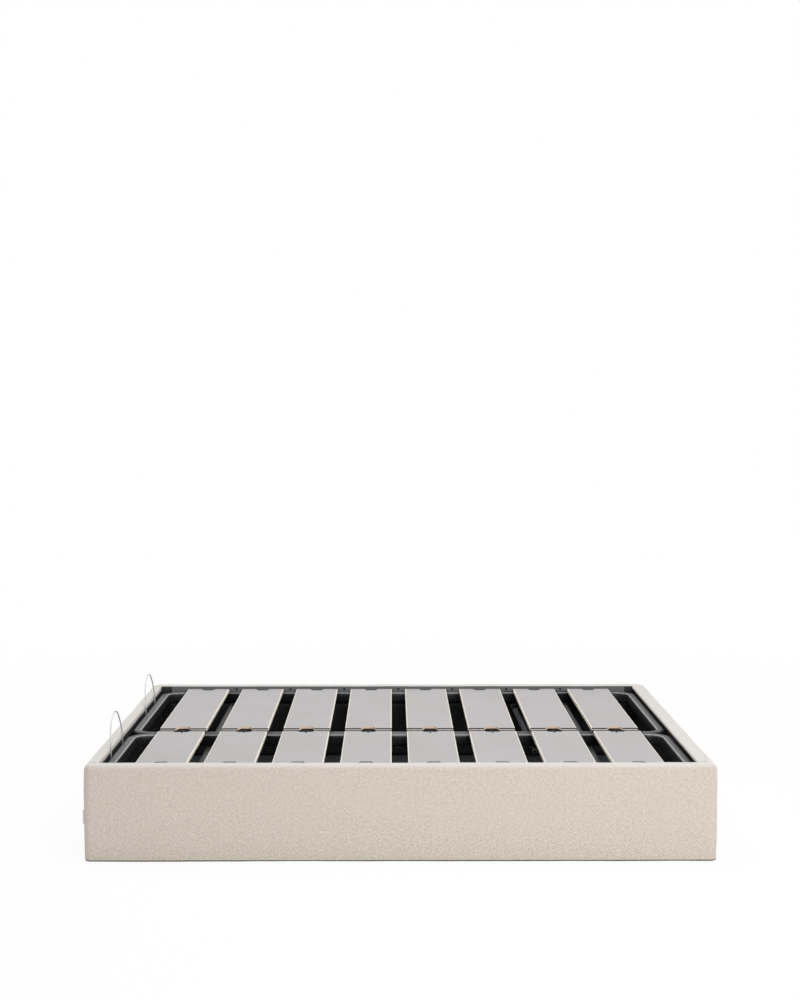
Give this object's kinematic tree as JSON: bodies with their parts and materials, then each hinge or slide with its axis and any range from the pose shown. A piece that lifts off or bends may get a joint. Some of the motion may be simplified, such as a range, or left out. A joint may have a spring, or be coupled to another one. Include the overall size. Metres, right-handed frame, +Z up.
{
  "type": "ottoman storage bed base",
  "caption": "Upholstered storage bed base whose two-part slatted platform lifts from the foot end on side hinges and gas struts.",
  "frame": {"origin": "on the floor, under the middle of the base box", "axes": "+X from the foot end to the head end, +Y from the near side to the far side, +Z up"},
  "size_m": [1.986, 1.48, 0.4123],
  "materials": {
    "cream_fabric": "twill weave",
    "particle_board": "raw",
    "black_liner": "non-woven, slight sheen",
    "hardboard": "black laminate",
    "black_steel": "powder coat, semi-gloss",
    "black_plastic": "matt",
    "black_rubber": "matt",
    "grey_slat": "grey laminate on birch plywood",
    "hoop_wire": "bright zinc",
    "zinc_steel": "zinc",
    "strut_paint": "silver paint",
    "chrome_rod": "ground and chromed"
  },
  "bodies": {
    "base": {"board_near": "particle_board", "board_far": "particle_board", "board_foot": "particle_board", "board_head": "particle_board", "cover_near": "cream_fabric", "cover_far": "cream_fabric", "cover_foot": "cream_fabric", "cover_head": "cream_fabric", "liner": "black_liner", "floor_cleats": "particle_board", "floor_beam": "particle_board", "floor_panel_near": "hardboard", "floor_panel_far": "hardboard", "glides": "black_plastic", "corner_brackets": "black_steel", "side_tab": "cream_fabric", "foot_ledge": "black_steel", "side_rests": "black_steel", "rest_pads": "black_rubber", "hinge_plate_near": "black_steel", "hinge_plate_far": "black_steel", "pivot_bolts": "zinc_steel"},
    "platform": {"rail_near_front": "black_steel", "rail_near_back": "black_steel", "rail_far_front": "black_steel", "rail_far_back": "black_steel", "bow_near_foot": "black_steel", "bow_near_head": "black_steel", "bow_far_foot": "black_steel", "bow_far_head": "black_steel", "crossbar_foot": "black_steel", "crossbar_head": "black_steel", "joint_plates": "black_steel", "slat_near_1": "grey_slat", "slat_near_2": "grey_slat", "slat_near_3": "grey_slat", "slat_near_4": "grey_slat", "slat_near_5": "grey_slat", "slat_near_6": "grey_slat", "slat_near_7": "grey_slat", "slat_near_8": "grey_slat", "slat_far_1": "grey_slat", "slat_far_2": "grey_slat", "slat_far_3": "grey_slat", "slat_far_4": "grey_slat", "slat_far_5": "grey_slat", "slat_far_6": "grey_slat", "slat_far_7": "grey_slat", "slat_far_8": "grey_slat", "slat_clips_near": "black_plastic", "slat_clips_far": "black_plastic", "hoop_near": "hoop_wire", "hoop_far": "hoop_wire", "hoop_sockets": "black_steel", "lever_near": "black_steel", "lever_far": "black_steel"},
    "strut_tube_body_near": {"strut_tube_near": "strut_paint"},
    "strut_rod_body_near": {"strut_rod_near": "chrome_rod"},
    "strut_tube_body_far": {"strut_tube_far": "strut_paint"},
    "strut_rod_body_far": {"strut_rod_far": "chrome_rod"}
  },
  "joints": [
    {"name": "platform_lift", "type": "hinge", "parent": "base", "child": "platform", "pos_m": [0.7, 0, 0.23], "axis": [0, 1, 0], "range_deg": [0, 40]},
    {"name": "rod_swing_near", "type": "hinge", "parent": "base", "child": "strut_rod_body_near", "pos_m": [0.54591, -0.676, 0.046], "axis": [0, 1, 0], "range_deg": [0, 20]},
    {"name": "tube_swing_near", "type": "hinge", "parent": "platform", "child": "strut_tube_body_near", "pos_m": [0.46, -0.676, 0.23], "axis": [0, 1, 0], "range_deg": [-20, 0]},
    {"name": "rod_swing_far", "type": "hinge", "parent": "base", "child": "strut_rod_body_far", "pos_m": [0.54591, 0.676, 0.046], "axis": [0, 1, 0], "range_deg": [0, 20]},
    {"name": "tube_swing_far", "type": "hinge", "parent": "platform", "child": "strut_tube_body_far", "pos_m": [0.46, 0.676, 0.23], "axis": [0, 1, 0], "range_deg": [-20, 0]}
  ],
  "couplings": [
    {"joint": "rod_swing_near", "follows": "platform_lift", "ratio": 0.5},
    {"joint": "tube_swing_near", "follows": "platform_lift", "ratio": -0.5},
    {"joint": "rod_swing_far", "follows": "platform_lift", "ratio": 0.5},
    {"joint": "tube_swing_far", "follows": "platform_lift", "ratio": -0.5}
  ]
}
